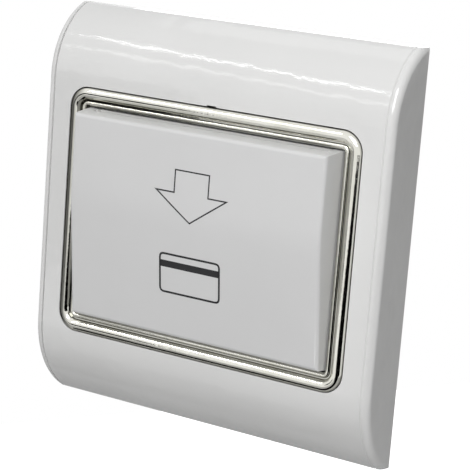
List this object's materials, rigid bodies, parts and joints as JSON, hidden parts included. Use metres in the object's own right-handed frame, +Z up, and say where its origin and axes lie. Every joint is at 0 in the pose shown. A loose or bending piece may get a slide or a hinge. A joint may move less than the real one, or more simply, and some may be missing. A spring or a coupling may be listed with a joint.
{
  "type": "hotel key card switch",
  "caption": "Wall switch with a tilted card pocket behind a raised wedge cover in a plated ring, on a barrel-shaped plate, over a reader, relay and rising wire clamps.",
  "frame": {"origin": "centre of the two wall screw slots, on the wall plane", "axes": "+Z up, -Y out of the wall towards the room, +X to the right as seen from the room"},
  "size_m": [0.086, 0.0519, 0.09],
  "materials": {
    "plate_plastic": "satin white moulding",
    "cover_plastic": "satin white moulding",
    "pocket_plastic": "plain moulding",
    "chrome_trim": "bright plated",
    "yoke_plastic": "plain moulding",
    "housing_plastic": "plain moulding",
    "screw_steel": "zinc plated",
    "board_laminate": "solder-masked laminate",
    "antenna_copper": "etched copper",
    "chip_epoxy": "moulded epoxy",
    "lamp_resin": "clear resin",
    "header_plastic": "plain moulding",
    "pin_brass": "tinned",
    "block_plastic": "plain moulding",
    "bar_brass": "tinned",
    "clamp_steel": "zinc plated",
    "relay_plastic": "moulded",
    "bobbin_plastic": "moulded",
    "coil_wire": "enamelled copper wire",
    "relay_iron": "soft iron, zinc plated",
    "contact_metal": "silver alloy rivets on spring bronze",
    "capacitor_plastic": "moulded box",
    "can_aluminium": "sleeved can",
    "varistor_epoxy": "dipped epoxy",
    "fuse_plastic": "moulded box"
  },
  "bodies": {
    "wall_unit": {"front_frame": "plate_plastic", "left_cheek": "plate_plastic", "right_cheek": "plate_plastic", "mounting_plate": "yoke_plastic", "rear_housing": "housing_plastic", "housing_screws": "screw_steel", "board_screws": "screw_steel", "reader_screws": "screw_steel", "reader_board": "board_laminate", "power_board": "board_laminate", "antenna_track": "antenna_copper", "reader_chip": "chip_epoxy", "control_chip": "chip_epoxy", "bridge_rectifier": "chip_epoxy", "locator_lamps": "lamp_resin", "link_header": "header_plastic", "link_pins": "pin_brass", "relay_pins": "pin_brass", "terminal_block": "block_plastic", "terminal_bars": "bar_brass", "relay_base": "relay_plastic", "relay_case": "relay_plastic", "relay_bobbin": "bobbin_plastic", "relay_coil": "coil_wire", "relay_core": "relay_iron", "relay_yoke": "relay_iron", "fixed_contacts": "contact_metal", "line_capacitor": "capacitor_plastic", "filter_capacitors": "can_aluminium", "varistor": "varistor_epoxy", "line_fuse": "fuse_plastic"},
    "card_insert": {"chrome_ring": "chrome_trim", "card_cover": "cover_plastic", "card_pocket": "pocket_plastic", "pocket_front": "pocket_plastic", "pocket_carrier": "pocket_plastic"},
    "relay_arm": {"relay_armature": "relay_iron", "contact_leaf": "contact_metal"},
    "clamp_screw_1": {"terminal_screw_1": "clamp_steel"},
    "clamp_cage_1": {"terminal_cage_1": "clamp_steel"},
    "clamp_screw_2": {"terminal_screw_2": "clamp_steel"},
    "clamp_cage_2": {"terminal_cage_2": "clamp_steel"},
    "clamp_screw_3": {"terminal_screw_3": "clamp_steel"},
    "clamp_cage_3": {"terminal_cage_3": "clamp_steel"},
    "clamp_screw_4": {"terminal_screw_4": "clamp_steel"},
    "clamp_cage_4": {"terminal_cage_4": "clamp_steel"}
  },
  "joints": [
    {"name": "insert_release", "type": "slide", "parent": "wall_unit", "child": "card_insert", "axis": [0, -1, 0], "range_m": [0, 0.012]},
    {"name": "relay_closing", "type": "hinge", "parent": "wall_unit", "child": "relay_arm", "pos_m": [0.0146, 0.0056, 0.01184], "axis": [-1, 0, 0], "range_deg": [0, 3.8], "stiffness_Nm_per_rad": 0.02, "springref_deg": -5.73},
    {"name": "clamp_turn_1", "type": "hinge", "parent": "wall_unit", "child": "clamp_screw_1", "pos_m": [-0.0135, 0.03, -0.02476], "axis": [0, -1, 0], "range_deg": [0, 1800]},
    {"name": "clamp_lift_1", "type": "slide", "parent": "wall_unit", "child": "clamp_cage_1", "axis": [0, 1, 0], "range_m": [0, 0.0025]},
    {"name": "clamp_turn_2", "type": "hinge", "parent": "wall_unit", "child": "clamp_screw_2", "pos_m": [-0.0045, 0.03, -0.02476], "axis": [0, -1, 0], "range_deg": [0, 1800]},
    {"name": "clamp_lift_2", "type": "slide", "parent": "wall_unit", "child": "clamp_cage_2", "axis": [0, 1, 0], "range_m": [0, 0.0025]},
    {"name": "clamp_turn_3", "type": "hinge", "parent": "wall_unit", "child": "clamp_screw_3", "pos_m": [0.0045, 0.03, -0.02476], "axis": [0, -1, 0], "range_deg": [0, 1800]},
    {"name": "clamp_lift_3", "type": "slide", "parent": "wall_unit", "child": "clamp_cage_3", "axis": [0, 1, 0], "range_m": [0, 0.0025]},
    {"name": "clamp_turn_4", "type": "hinge", "parent": "wall_unit", "child": "clamp_screw_4", "pos_m": [0.0135, 0.03, -0.02476], "axis": [0, -1, 0], "range_deg": [0, 1800]},
    {"name": "clamp_lift_4", "type": "slide", "parent": "wall_unit", "child": "clamp_cage_4", "axis": [0, 1, 0], "range_m": [0, 0.0025]}
  ],
  "couplings": [
    {"joint": "clamp_turn_1", "follows": "clamp_lift_1", "rad_per_m": 12566},
    {"joint": "clamp_turn_2", "follows": "clamp_lift_2", "rad_per_m": 12566},
    {"joint": "clamp_turn_3", "follows": "clamp_lift_3", "rad_per_m": 12566},
    {"joint": "clamp_turn_4", "follows": "clamp_lift_4", "rad_per_m": 12566}
  ]
}
